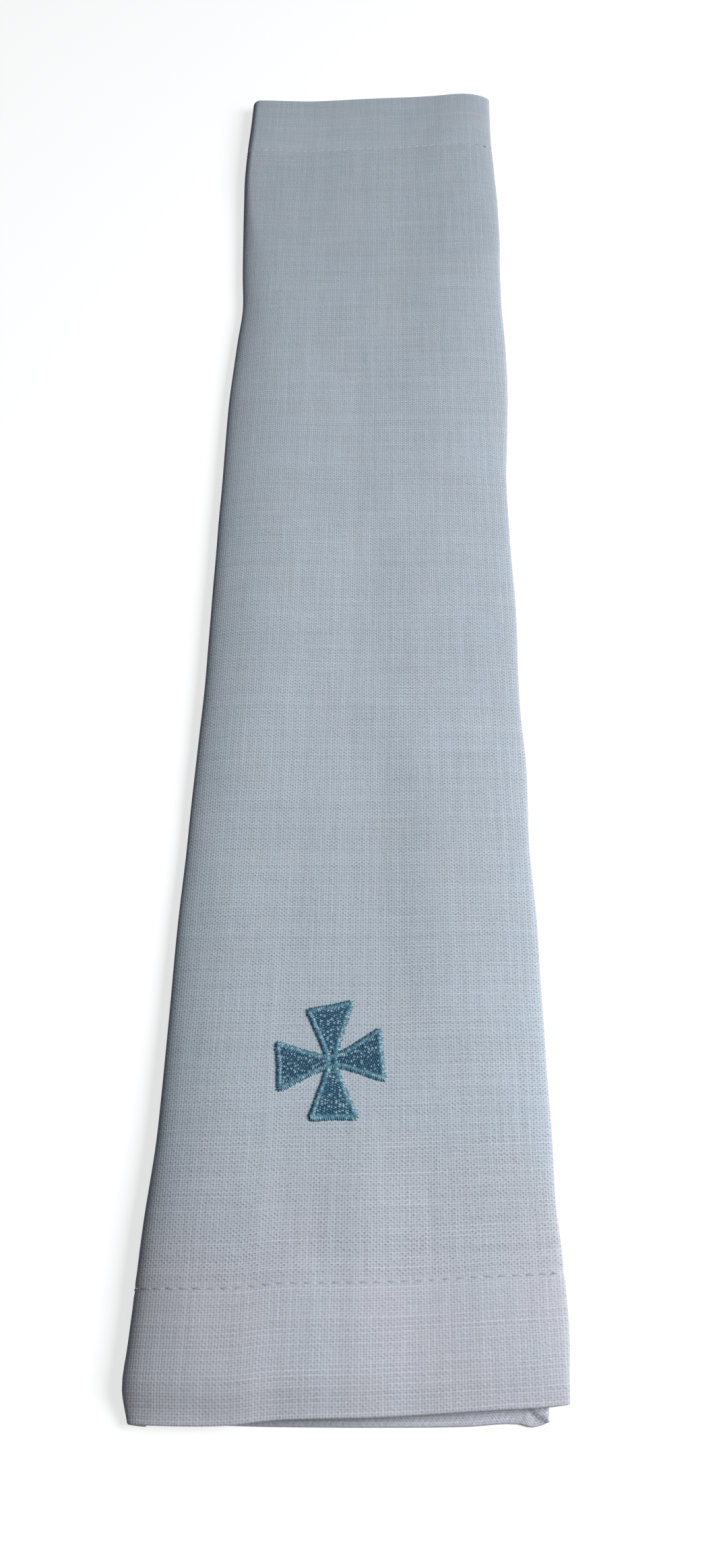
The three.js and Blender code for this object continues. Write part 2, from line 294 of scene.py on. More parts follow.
def filled(places, start, end, step):
    """The places from start to end, with more between them where they lie further apart than the step."""
    kept = sorted({start, end, *[place for place in places if start < place < end]})
    steps = [kept[0]]
    for a, b in zip(kept, kept[1:]):
        count = math.ceil((b - a) / step - 0.01)
        steps += [a + (b - a) * k / count for k in range(1, count + 1)]
    return np.array(steps)


# Distances from an edge of the flat cloth that step round its rolled rim, over its mitred corners, and
# over the seam and the turned edge of its hem.
rim_steps = [HEM_THICKNESS / 2 * (1 - math.cos(math.radians(turn))) for turn in RIM_TURNS]
corner_steps = list(np.arange(CORNER_START, SIDE_HEM + CORNER_PAST_HEM, CORNER_STEP))


def hem_steps(hem):
    seam = hem - SEAM_FROM_HEM_EDGE
    around_seam = [seam + step for step in SEAM_STEPS]
    return rim_steps + corner_steps + around_seam + [hem, hem + HEM_STEP]


# The sheet's columns run across the flat cloth, from the back panel's free edge to the inner panel's.
mid = {name: float(value) for name, value in section_at(0.0).items()}
back_width = mid["right"] - mid["left"] - BACK_FREE_EDGE_FROM_RIGHT - LEFT_FOLD_UNDER
front_width = mid["right_crown_x"] - mid["left_crown_x"]
inner_width = mid["right"] - mid["left"] - RIGHT_FOLD_UNDER - INNER_FREE_EDGE_FROM_LEFT
stretches = {
    "back": filled(hem_steps(SIDE_HEM), 0, back_width, PANEL_STEP) / back_width,
    "left fold": np.linspace(0, 1, FOLD_STEPS + 1)[1:],
    "front": filled([], 0, front_width, PANEL_STEP)[1:] / front_width,
    "right fold": np.linspace(0, 1, FOLD_STEPS + 1)[1:],
    "inner": (1 - filled(hem_steps(SIDE_HEM), 0, inner_width, PANEL_STEP)[::-1] / inner_width)[1:],
}
columns = [(stretch, share) for stretch, shares in stretches.items() for share in shares]
mid_points = np.array([sheet_point(stretch, share, 0.0, 0.0) for stretch, share in columns], float)
across = np.concatenate([[0], np.cumsum(np.hypot(*np.diff(mid_points, axis=0).T))])
flat_width = across[-1]
near_steps = [NEAR_END + step for step in hem_steps(NEAR_HEM)]
far_steps = [FAR_END - step for step in hem_steps(FAR_HEM)]
stations = filled(near_steps + far_steps, NEAR_END, FAR_END, LENGTH_STEP)


def wave_sum(u, v, lengths, seed):
    """Plane waves of these lengths in random directions, added up to heights of about -1 to 1."""
    random = np.random.default_rng(seed)
    total = 0.0
    for length in lengths:
        for _ in range(WAVES_PER_LENGTH):
            heading, phase = random.uniform(0, 2 * math.pi, 2)
            along = u * math.cos(heading) + v * math.sin(heading)
            total = total + np.sin(2 * math.pi * along / length + phase)
    return total / math.sqrt(len(lengths) * WAVES_PER_LENGTH)


def seam_distance(u, v):
    side = SIDE_HEM - SEAM_FROM_HEM_EDGE
    from_side = np.abs(np.minimum(u, flat_width - u) - side)
    from_near = np.abs(v - (NEAR_END + NEAR_HEM - SEAM_FROM_HEM_EDGE))
    from_far = np.abs(v - (FAR_END - FAR_HEM + SEAM_FROM_HEM_EDGE))
    return np.minimum(from_side, np.minimum(from_near, from_far))


def relief(u, v):
    """How far the cloth stands out of its smooth form at a place of the flat cloth."""
    from_seam = seam_distance(u, v)
    ripples = RIPPLE_HEIGHT * wave_sum(u, v, RIPPLE_LENGTHS, RIPPLE_SEED)
    puckers = PUCKER_HEIGHT * wave_sum(u, v, PUCKER_LENGTHS, PUCKER_SEED)
    puckers = puckers * np.exp(-((from_seam / PUCKER_REACH) ** 2))
    groove = SEAM_GROOVE_DEPTH * np.exp(-((from_seam / SEAM_GROOVE_WIDTH) ** 2))
    return ripples + puckers - groove


U, V = np.meshgrid(across, stations)
from_side = np.minimum(U, flat_width - U)
from_end = np.minimum(V - NEAR_END, FAR_END - V)
in_side_hem = smooth((SIDE_HEM + HEM_STEP - from_side) / HEM_STEP)
in_near_hem = smooth((NEAR_HEM + HEM_STEP - (V - NEAR_END)) / HEM_STEP)
in_far_hem = smooth((FAR_HEM + HEM_STEP - (FAR_END - V)) / HEM_STEP)
doubled = np.maximum(in_side_hem, np.maximum(in_near_hem, in_far_hem))
mitre = smooth((np.minimum(SIDE_HEM, from_end + MITRE_START) - from_side) / HEM_STEP)
mitre = mitre * np.maximum(in_near_hem, in_far_hem)
off_mitre_line = (from_side - from_end - MITRE_START) / MITRE_LINE_WIDTH
mitre_line = np.exp(-(off_mitre_line**2)) * (from_side < SIDE_HEM)
thickness = CLOTH_THICKNESS + (HEM_THICKNESS - CLOTH_THICKNESS) * doubled
rim_share = np.clip(np.minimum(from_side, from_end) / (HEM_THICKNESS / 2), 0, 1)
rim = np.sqrt(1 - (1 - rim_share) ** 2)

# The back panel's right side lies on the table, so its relief only goes inwards.
on_table = np.array([stretch == "back" for stretch, _ in columns])
raised = relief(U, V) * rim
raised = np.where(on_table, np.minimum(raised, 0), raised)
right_depth = thickness / 2 * (1 - rim) - raised
wrong_depth = thickness / 2 * (1 + rim) - raised + MITRE_RISE * mitre * rim


def laid_points(depth):
    """The points of one side of the sheet, in rows of stations and columns."""
    points = np.empty(U.shape + (3,))
    for k, (stretch, share) in enumerate(columns):
        x, z = sheet_point(stretch, share, depth[:, k], stations)
        outer_x, _ = sheet_point(stretch, share, 0.0, stations)
        points[:, k] = np.stack([x, drawn_y(stretch, outer_x, stations), z], -1)
    return points


right_side = laid_points(right_depth)
wrong_side = laid_points(wrong_depth)


def mesh_object(name, points, faces=(), edges=()):
    """A new object at the origin from points in the tables' millimetres."""
    vertices = (np.asarray(points, float) + FRAME_SHIFT) * MM
    mesh = bpy.data.meshes.new(name)
    mesh.from_pydata(vertices.tolist(), list(edges), list(faces))
    mesh.update()
    thing = bpy.data.objects.new(name, mesh)
    bpy.context.scene.collection.objects.link(thing)
    return thing


def grid_faces(grid):
    """Four-sided faces between the rows and columns of a grid of vertex numbers."""
    corners = [grid[:-1, :-1], grid[:-1, 1:], grid[1:, 1:], grid[1:, :-1]]
    return np.stack(corners, -1).reshape(-1, 4).tolist()


# The two sides share their vertices along the rim.
inside = np.zeros(U.shape, bool)
inside[1:-1, 1:-1] = True
right_grid = np.arange(U.size).reshape(U.shape)
wrong_grid = right_grid.copy()
wrong_grid[inside] = U.size + np.arange(inside.sum())
sheet_vertices = np.concatenate([right_side.reshape(-1, 3), wrong_side[inside]])
sheet_faces = grid_faces(right_grid) + [face[::-1] for face in grid_faces(wrong_grid)]
towel = mesh_object("towel_cloth", sheet_vertices, sheet_faces)
towel.data.shade_smooth()

# Its UV map holds the flat cloth's own places in metres, which the weave follows over every fold. Its
# lengthwise threads run straight along the middle of the front panel.
WEAVE_MIDDLE_X = 0.0
section_steps = np.diff(right_side[..., (0, 2)], axis=1)
run = np.pad(np.cumsum(np.linalg.norm(section_steps, axis=-1), axis=1), ((0, 0), (1, 0)))
on_front = np.array([stretch == "front" for stretch, _ in columns])
front_x = right_side[:, on_front, 0]
middle_run = [np.interp(WEAVE_MIDDLE_X, x, way) for x, way in zip(front_x, run[:, on_front])]
flat_places = np.stack([run - np.array(middle_run)[:, None], V], -1)
flat_places = np.concatenate([flat_places.reshape(-1, 2), flat_places[inside]]) * MM
corner_vertices = np.empty(len(towel.data.loops), int)
towel.data.loops.foreach_get("vertex_index", corner_vertices)
towel.data.uv_layers.new(name="flat cloth").data.foreach_set("uv", flat_places[corner_vertices].ravel())
doubled_values = np.concatenate([doubled.ravel(), doubled[inside]])
towel.data.attributes.new("doubled", "FLOAT", "POINT").data.foreach_set("value", doubled_values)
line_values = np.concatenate([np.zeros(mitre_line.size), mitre_line[inside]])
towel.data.attributes.new("mitre line", "FLOAT", "POINT").data.foreach_set("value", line_values)

# The threads' spacing, how far they wander, and how their width and packing vary along the cloth.
WARP_PITCH = 0.69 * MM
WEFT_PITCH = 0.548 * MM
WANDER_LENGTH = 24 * MM
WANDER_STRETCH = 2.0
WANDER = 0.4
WANDER_DETAIL = 4.0
SLUB_LENGTH = 22 * MM
SLUB_STRIDE = 5.37
THREAD_WIDTHS = (0.6, 1.04)
THREAD_FLATNESS = 0.3
THREAD_SWING = 0.5
THREAD_RELIEF = 0.06 * MM
PACKING_LENGTH = 14 * MM
PACKING = 0.16

# The gaps at the threads' crossings, with painted shadow in them that is fainter at every other one,
# where light falls on the threads' over and under.
GAP_REACH = 1.38
GAP_STRETCH = 1.15
GAP_DEPTHS = (0.4, 1.2)
GAP_SHADOW = 0.34
HEM_GAP_SHADOW = 0.2
FAINTER_GAP_SHADOW = 0.85
MITRE_SHADOW = 0.4

# The threads' shades, in units of THREAD_SHADE: their own tones at random, and painted light and shade,
# lighter on the crowns of the threads and of the rows and where the warp lies on top.
THREAD_SHADE = 0.07
OWN_SHADE = 0.8
CROWN_LIGHT = 1.5
CROWN_MEAN = 0.6
ROW_LIGHT = 1.0
ROW_MEAN = 0.7
PAIRED_ROWS = 0.45
WARP_LIGHT = 0.3
CROSSING_SHADE = 0.6

# The linen's two tints in soft patches, with more of the warmer one towards the near end, painted there as
# the tint of a warm light.
LINEN_COOL = (0.655, 0.735, 0.82, 1)
LINEN_WARM = (0.705, 0.716, 0.787, 1)
CLOUD_LENGTH = 26 * MM
CLOUD = 0.035
TINT_LENGTH = 19 * MM
TINT = 0.45
TINT_MEAN = 0.1
WARM_LIGHT_FROM = -165 * MM
WARM_LIGHT_TO = -235 * MM
WARM_LIGHT_TINT = 0.8


def node(tree, kind, inputs=(), **settings):
    """A new node with these settings, whose inputs, by name or place, take values or other sockets."""
    made = tree.nodes.new(kind)
    for name, value in settings.items():
        setattr(made, name, value)
    for name, given in dict(inputs).items():
        if isinstance(given, bpy.types.NodeSocket):
            tree.links.new(given, made.inputs[name])
        else:
            made.inputs[name].default_value = given
    return made


def maths(tree, operation, *values):
    """The result of a Math node on sockets and numbers."""
    return node(tree, "ShaderNodeMath", enumerate(values), operation=operation).outputs[0]


def spread(tree, value, low, high):
    """A noise or random value from 0 to 1 as one from low to high."""
    return maths(tree, "MULTIPLY_ADD", value, high - low, low)


def noise(tree, place, scale, detail=0.0):
    """The value of a flat noise whose features are 1 / scale apart."""
    inputs = {"Vector": place, "Scale": scale, "Detail": detail}
    return node(tree, "ShaderNodeTexNoise", inputs, noise_dimensions="2D").outputs[0]


def chance(tree, place):
    """A random value from 0 to 1 for each whole-numbered place."""
    return node(tree, "ShaderNodeTexWhiteNoise", {"Vector": place}, noise_dimensions="2D").outputs[0]


def eased(tree, value, start, end, low, high):
    """Low to high, with a smooth step, as the value goes from start to end."""
    inputs = {"Value": value, "From Min": start, "From Max": end, "To Min": low, "To Max": high}
    return node(tree, "ShaderNodeMapRange", inputs, interpolation_type="SMOOTHSTEP").outputs[0]


def pair(tree, x, y):
    return node(tree, "ShaderNodeCombineXYZ", {0: x, 1: y}).outputs[0]


def new_group(name, inputs, outputs):
    """A shader node group with these sockets, and its input and output nodes."""
    tree = bpy.data.node_groups.new(name, "ShaderNodeTree")
    for label, kind in inputs.items():
        tree.interface.new_socket(label, in_out="INPUT", socket_type=kind)
    for label, kind in outputs.items():
        tree.interface.new_socket(label, in_out="OUTPUT", socket_type=kind)
    return tree, tree.nodes.new("NodeGroupInput"), tree.nodes.new("NodeGroupOutput")


def thread_across(tree, place, pitch, drift, along, packing):
    """One set of the weave's threads at a place of the cloth.

    Gives the thread's number, the place across it from -0.5 to 0.5, its roundness there, its shade, the
    place counted in threads, and the distance to the gap beside it as a share of the gap's reach.
    """
    at = maths(tree, "ADD", maths(tree, "DIVIDE", place, pitch), drift)
    number = maths(tree, "FLOOR", at)
    inside_thread = maths(tree, "SUBTRACT", maths(tree, "FRACT", at), 0.5)
    along_slubs = maths(tree, "DIVIDE", along, SLUB_LENGTH)
    own_line = maths(tree, "MULTIPLY", number, SLUB_STRIDE)
    fineness = noise(tree, pair(tree, own_line, along_slubs), 1.0, 2.0)
    width = maths(tree, "ADD", spread(tree, fineness, *THREAD_WIDTHS), packing)
    off = maths(tree, "DIVIDE", maths(tree, "MULTIPLY", inside_thread, 2.0), width)
    round_top = maths(tree, "SUBTRACT", 1.0, maths(tree, "MULTIPLY", off, off))
    roundness = maths(tree, "POWER", maths(tree, "MAXIMUM", round_top, 0.0), THREAD_FLATNESS)
    own = node(tree, "ShaderNodeTexWhiteNoise", {"W": number}, noise_dimensions="1D").outputs[0]
    own_shade = spread(tree, own, -OWN_SHADE, OWN_SHADE)
    shade = maths(tree, "ADD", own_shade, spread(tree, fineness, -1.0, 1.0))
    to_edge = maths(tree, "SUBTRACT", 0.5, maths(tree, "ABSOLUTE", inside_thread))
    gap_reach = maths(tree, "SUBTRACT", GAP_REACH, width)
    return number, inside_thread, roundness, shade, at, maths(tree, "DIVIDE", to_edge, gap_reach)


def weave_height(tree, roundness, crossing, inside_other):
    """A thread's height as it rides over and under those that cross it."""
    wave = maths(tree, "COSINE", maths(tree, "MULTIPLY", inside_other, math.pi))
    ride = maths(tree, "MULTIPLY", wave, crossing)
    lift = maths(tree, "MULTIPLY_ADD", ride, THREAD_SWING, 1 - THREAD_SWING)
    return maths(tree, "MULTIPLY", roundness, lift)


def plain_weave():
    """Threads passing over and under one another by turns, with slubs, small gaps and painted light on
    their crowns.
    """
    number = "NodeSocketFloat"
    tree, given, result = new_group(
        "plain_weave",
        {"Cloth Place": "NodeSocketVector", "Warp Pitch": number, "Weft Pitch": number},
        {"Height": number, "Gap": number, "Shade": number},
    )
    split = node(tree, "ShaderNodeSeparateXYZ", {0: given.outputs["Cloth Place"]})
    u, v = split.outputs[0], split.outputs[1]
    drifts = []
    for stretch_u, stretch_v in ((WANDER_STRETCH, 1.0), (1.0, WANDER_STRETCH)):
        place = pair(tree, maths(tree, "MULTIPLY", u, stretch_u), maths(tree, "MULTIPLY", v, stretch_v))
        drifts.append(spread(tree, noise(tree, place, 1 / WANDER_LENGTH, WANDER_DETAIL), -WANDER, WANDER))
    packing = noise(tree, given.outputs["Cloth Place"], 1 / PACKING_LENGTH, 2.0)
    warp_packing = spread(tree, packing, -PACKING, PACKING)
    weft_packing = spread(tree, packing, PACKING, -PACKING)
    warp_number, in_warp, warp_round, warp_shade, warp_at, warp_gap = thread_across(
        tree, u, given.outputs["Warp Pitch"], drifts[0], v, warp_packing
    )
    weft_number, in_weft, weft_round, weft_shade, weft_at, weft_gap = thread_across(
        tree, v, given.outputs["Weft Pitch"], drifts[1], u, weft_packing
    )
    odd = maths(tree, "FLOORED_MODULO", maths(tree, "ADD", warp_number, weft_number), 2.0)
    warp_height = weave_height(tree, warp_round, maths(tree, "MULTIPLY_ADD", odd, -2.0, 1.0), in_weft)
    weft_height = weave_height(tree, weft_round, maths(tree, "MULTIPLY_ADD", odd, 2.0, -1.0), in_warp)
    height = maths(tree, "MAXIMUM", warp_height, weft_height)
    warp_on_top = maths(tree, "GREATER_THAN", warp_height, weft_height)
    tree.links.new(height, result.inputs["Height"])

    shade = node(tree, "ShaderNodeMix", {0: warp_on_top, 2: weft_shade, 3: warp_shade}).outputs[0]
    odd_row = maths(tree, "FLOORED_MODULO", weft_number, 2.0)
    crossing = chance(tree, pair(tree, warp_number, weft_number))
    # Painted light and shade: crowns lighter and hollows darker, and the warp lighter where it lies on
    # top.
    for light in (
        maths(tree, "MULTIPLY_ADD", height, CROWN_LIGHT, -CROWN_MEAN * CROWN_LIGHT),
        maths(tree, "MULTIPLY_ADD", warp_on_top, WARP_LIGHT, -0.5 * WARP_LIGHT),
        spread(tree, crossing, -CROSSING_SHADE, CROSSING_SHADE),
        maths(tree, "MULTIPLY_ADD", weft_round, ROW_LIGHT, -ROW_MEAN * ROW_LIGHT),
        spread(tree, odd_row, -PAIRED_ROWS, PAIRED_ROWS),
    ):
        shade = maths(tree, "ADD", shade, light)
    tree.links.new(shade, result.inputs["Shade"])

    off_u = maths(tree, "POWER", warp_gap, 2.0)
    off_v = maths(tree, "POWER", maths(tree, "DIVIDE", weft_gap, GAP_STRETCH), 2.0)
    gap = eased(tree, maths(tree, "ADD", off_u, off_v), 0.0, 1.0, 1.0, 0.0)
    nearest_warp_gap = maths(tree, "ROUND", warp_at)
    nearest_weft_gap = maths(tree, "ROUND", weft_at)
    corners = maths(tree, "ADD", nearest_warp_gap, nearest_weft_gap)
    # Painted shadow in the gaps, fainter at every other crossing, and deeper at some than at others.
    fainter_shadow = maths(tree, "MULTIPLY", maths(tree, "FLOORED_MODULO", corners, 2.0), FAINTER_GAP_SHADOW)
    depth = spread(tree, chance(tree, pair(tree, nearest_warp_gap, nearest_weft_gap)), *GAP_DEPTHS)
    open_share = maths(tree, "MULTIPLY", depth, maths(tree, "SUBTRACT", 1.0, fainter_shadow))
    tree.links.new(maths(tree, "MULTIPLY", gap, open_share), result.inputs["Gap"])
    return tree


def linen():
    """Bleached linen, cool white, with painted light on its threads' crowns and painted shadow in its
    gaps, which the doubled cloth of a hem fills in.
    """
    material = bpy.data.materials.new("linen")
    material.use_nodes = True
    tree = material.node_tree
    shader = tree.nodes["Principled BSDF"]
    place = node(tree, "ShaderNodeUVMap", uv_map="flat cloth").outputs[0]
    weave = node(tree, "ShaderNodeGroup", node_tree=plain_weave())
    tree.links.new(place, weave.inputs["Cloth Place"])
    weave.inputs["Warp Pitch"].default_value = WARP_PITCH
    weave.inputs["Weft Pitch"].default_value = WEFT_PITCH
    in_hem = node(tree, "ShaderNodeAttribute", attribute_name="doubled").outputs["Fac"]
    gap_depth = node(tree, "ShaderNodeMix", {0: in_hem, 2: GAP_SHADOW, 3: HEM_GAP_SHADOW}).outputs[0]
    gap_light = maths(tree, "SUBTRACT", 1.0, maths(tree, "MULTIPLY", weave.outputs["Gap"], gap_depth))
    shade = maths(tree, "MULTIPLY_ADD", weave.outputs["Shade"], THREAD_SHADE, 1.0)
    cloud = spread(tree, noise(tree, place, 1 / CLOUD_LENGTH, 2.0), 1 - CLOUD, 1 + CLOUD)
    # Painted shadow along the line where a mitred corner's hems meet.
    mitre_line = node(tree, "ShaderNodeAttribute", attribute_name="mitre line").outputs["Fac"]
    cloud = maths(tree, "MULTIPLY", cloud, spread(tree, mitre_line, 1.0, 1 - MITRE_SHADOW))
    light = maths(tree, "MULTIPLY", maths(tree, "MULTIPLY", gap_light, shade), cloud)
    along = node(tree, "ShaderNodeSeparateXYZ", {0: place}).outputs[1]
    # Painted warm light: the tint grows warmer towards the near end.
    painted_warm_light = eased(tree, along, WARM_LIGHT_FROM, WARM_LIGHT_TO, 0.0, WARM_LIGHT_TINT)
    patches = spread(tree, noise(tree, place, 1 / TINT_LENGTH, 1.0), -TINT, TINT)
    warmth = maths(tree, "ADD", maths(tree, "ADD", patches, painted_warm_light), TINT_MEAN)
    tint_inputs = {0: warmth, 6: LINEN_COOL, 7: LINEN_WARM}
    tint = node(tree, "ShaderNodeMix", tint_inputs, data_type="RGBA").outputs[2]
    grey = node(tree, "ShaderNodeCombineXYZ", {0: light, 1: light, 2: light}).outputs[0]
    tinted = node(tree, "ShaderNodeVectorMath", {0: tint, 1: grey}, operation="MULTIPLY")
    tree.links.new(tinted.outputs[0], shader.inputs["Base Color"])
    bump_inputs = {"Height": weave.outputs["Height"], "Distance": THREAD_RELIEF, "Strength": 0.8}
    bump = node(tree, "ShaderNodeBump", bump_inputs)
    tree.links.new(bump.outputs[0], shader.inputs["Normal"])
    finish = {"Roughness": 0.85, "Specular IOR Level": 0.25, "Sheen Weight": 0.08, "Sheen Roughness": 0.5}
    for name, value in finish.items():
        shader.inputs[name].default_value = value
    return material


towel.data.materials.append(linen())
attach(towel, "root")
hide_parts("towel")


# The hems' stitches. White polyester thread, sewn by machine in a running lockstitch along the four hems,
# shows on both sides of the cloth as short stitches that dip into it at their ends.

HEM_STITCH = dict(
    spacing=3.2 * MM,
    stitch_length=2.8 * MM,
    stitch_rise=0.3 * MM,
    end_depth=0.1 * MM,
    thread_radius=0.17 * MM,
    turn_spread=math.radians(4),
)
SEWING_THREAD_DARK = (0.6, 0.65, 0.7, 1)
SEWING_THREAD_LIGHT = (0.74, 0.78, 0.82, 1)
STITCH_POINTS = 5
THREAD_SIDES = 6
THREAD_TAPER = 0.45
TURN_SEED = 5
LENGTH_SEED = 7
GLEAM_SEED = 9
PLY_BUMP = 0.05 * MM
GLEAM_SHARPNESS = 2.5
GLEAM_LIGHT = 0.8
GLINT_SIZES = (0.5, 1.3)
GLINT_LIGHTS = (0.4, 1.4)


def surface_directions(points):
    """The direction that a grid of points faces, at each of them."""
    facing = np.cross(np.gradient(points, axis=1), np.gradient(points, axis=0))
    return facing / np.linalg.norm(facing, axis=-1, keepdims=True)


def path_object(name, paths):
    """A mesh of open lines, from pairs of a line's points and the directions out of the cloth there."""
    edges = []
    first = 0
    for points, _ in paths:
        edges += [(first + k, first + k + 1) for k in range(len(points) - 1)]
        first += len(points)
    thing = mesh_object(name, np.concatenate([points for points, _ in paths]), edges=edges)
    outward = thing.data.attributes.new("outward", "FLOAT_VECTOR", "POINT")
    outward.data.foreach_set("vector", np.concatenate([facing for _, facing in paths]).ravel())
    return thing


def stitches_along_paths():
    """A tree that lays one curved stitch after another along the lines of a mesh, at an angle to them."""
    tree = bpy.data.node_groups.new("stitches_along_paths", "GeometryNodeTree")
    tree.interface.new_socket("Paths", in_out="INPUT", socket_type="NodeSocketGeometry")
    lengths = ("Spacing", "Stitch Length", "Stitch Rise", "End Depth", "Thread Radius")
    for name in lengths + ("Turn", "Zigzag", "Turn Spread", "Length Spread"):
        tree.interface.new_socket(name, in_out="INPUT", socket_type="NodeSocketFloat")
    tree.interface.new_socket("Thread", in_out="INPUT", socket_type="NodeSocketMaterial")
    tree.interface.new_socket("Stitches", in_out="OUTPUT", socket_type="NodeSocketGeometry")
    given = tree.nodes.new("NodeGroupInput").outputs
    result = tree.nodes.new("NodeGroupOutput")

    curves = node(tree, "GeometryNodeMeshToCurve", {0: given["Paths"]})
    spaced_inputs = {"Curve": curves.outputs[0], "Length": given["Spacing"]}
    spaced = node(tree, "GeometryNodeResampleCurve", spaced_inputs, mode="LENGTH")

    tangent = tree.nodes.new("GeometryNodeInputTangent").outputs[0]
    outward_inputs = {"Name": "outward"}
    outward = node(tree, "GeometryNodeInputNamedAttribute", outward_inputs, data_type="FLOAT_VECTOR")
    along = node(tree, "FunctionNodeAlignRotationToVector", {"Vector": tangent}, axis="X")
    seated_inputs = {"Rotation": along.outputs[0], "Vector": outward.outputs[0]}
    seated = node(tree, "FunctionNodeAlignRotationToVector", seated_inputs, axis="Z", pivot_axis="X")
    number = tree.nodes.new("GeometryNodeInputIndex").outputs[0]
    odd = maths(tree, "FLOORED_MODULO", number, 2.0)
    lean = maths(tree, "MULTIPLY", maths(tree, "MULTIPLY_ADD", odd, 2.0, -1.0), given["Zigzag"])
    turn_chance = node(tree, "FunctionNodeRandomValue", {2: -1.0, 3: 1.0, 8: TURN_SEED}).outputs[1]
    stray = maths(tree, "MULTIPLY", turn_chance, given["Turn Spread"])
    angle = maths(tree, "ADD", maths(tree, "ADD", given["Turn"], lean), stray)
    turn = node(tree, "FunctionNodeAxisAngleToRotation", {"Axis": (0, 0, 1), "Angle": angle})
    turned_inputs = {0: seated.outputs[0], 1: turn.outputs[0]}
    turned = node(tree, "FunctionNodeRotateRotation", turned_inputs, rotation_space="LOCAL")

    half_length = maths(tree, "MULTIPLY", given["Stitch Length"], 0.5)
    start_x = maths(tree, "MULTIPLY", half_length, -1.0)
    end_z = maths(tree, "MULTIPLY", given["End Depth"], -1.0)
    bend = node(
        tree,
        "GeometryNodeCurveQuadraticBezier",
        {
            "Resolution": STITCH_POINTS,
            "Start": node(tree, "ShaderNodeCombineXYZ", {0: start_x, 2: end_z}).outputs[0],
            "Middle": node(tree, "ShaderNodeCombineXYZ", {2: given["Stitch Rise"]}).outputs[0],
            "End": node(tree, "ShaderNodeCombineXYZ", {0: half_length, 2: end_z}).outputs[0],
        },
    )
    share = tree.nodes.new("GeometryNodeSplineParameter").outputs["Factor"]
    from_middle = maths(tree, "ABSOLUTE", maths(tree, "MULTIPLY_ADD", share, 2.0, -1.0))
    crown = maths(tree, "SUBTRACT", 1.0, from_middle)
    crown_inputs = {"Geometry": bend.outputs[0], "Name": "thread crown", "Value": crown}
    crowned = node(tree, "GeometryNodeStoreNamedAttribute", crown_inputs, domain="POINT")
    ring_inputs = {"Resolution": THREAD_SIDES, "Radius": given["Thread Radius"]}
    ring = node(tree, "GeometryNodeCurvePrimitiveCircle", ring_inputs)
    taper = maths(tree, "MULTIPLY_ADD", maths(tree, "POWER", from_middle, 4.0), -THREAD_TAPER, 1.0)
    stitch_inputs = {"Curve": crowned.outputs[0], "Profile Curve": ring.outputs[0], "Fill Caps": True}
    stitch = node(tree, "GeometryNodeCurveToMesh", {**stitch_inputs, "Scale": taper})

    length_chance = node(tree, "FunctionNodeRandomValue", {2: -1.0, 3: 1.0, 8: LENGTH_SEED}).outputs[1]
    own_length = maths(tree, "MULTIPLY_ADD", length_chance, given["Length Spread"], 1.0)
    own_scale = node(tree, "ShaderNodeCombineXYZ", {0: own_length, 1: 1.0, 2: 1.0}).outputs[0]
    laid_inputs = {"Points": spaced.outputs[0], "Instance": stitch.outputs[0]}
    laid_inputs.update(Rotation=turned.outputs[0], Scale=own_scale)
    laid = node(tree, "GeometryNodeInstanceOnPoints", laid_inputs)
    # Each stitch's chance share of the painted highlight on its crown.
    own_shade = node(tree, "FunctionNodeRandomValue", {2: 0.0, 3: 1.0, 8: GLEAM_SEED}).outputs[1]
    shaded_inputs = {"Geometry": laid.outputs[0], "Name": "stitch gleam", "Value": own_shade}
    shaded = node(tree, "GeometryNodeStoreNamedAttribute", shaded_inputs, domain="INSTANCE")
    real = node(tree, "GeometryNodeRealizeInstances", {0: shaded.outputs[0]})
    rounded = node(tree, "GeometryNodeSetShadeSmooth", {0: real.outputs[0]})
    painted = node(tree, "GeometryNodeSetMaterial", {0: rounded.outputs[0], "Material": given["Thread"]})
    tree.links.new(painted.outputs[0], result.inputs[0])
    return tree


stitch_tree = stitches_along_paths()


def sewn(paths, **sizes):
    """Sews the lines of a mesh with stitches of these sizes, and makes the result a plain mesh."""
    modifier = paths.modifiers.new("stitches", "NODES")
    modifier.node_group = stitch_tree
    for item in stitch_tree.interface.items_tree:
        label = item.name.lower().replace(" ", "_")
        if item.in_out == "INPUT" and label in sizes:
            modifier[item.identifier] = sizes[label]
    evaluated = paths.evaluated_get(bpy.context.evaluated_depsgraph_get())
    stitches = bpy.data.meshes.new_from_object(evaluated)
    paths.modifiers.remove(modifier)
    paths.data = stitches
    return paths


def thread_twist():
    """The plies of a twisted thread, as slanting ridges that pass along it, with a fine fuzz."""
    tree, given, result = new_group(
        "thread_twist",
        {"Place": "NodeSocketVector", "Ply Length": "NodeSocketFloat"},
        {"Ridge": "NodeSocketFloat"},
    )
    scale = maths(tree, "DIVIDE", 0.5, given.outputs["Ply Length"])
    band_inputs = {"Vector": given.outputs["Place"], "Scale": scale, "Distortion": 1.5, "Detail": 1.0}
    bands = node(tree, "ShaderNodeTexWave", band_inputs, bands_direction="DIAGONAL")
    tree.links.new(bands.outputs["Fac"], result.inputs["Ridge"])
    return tree


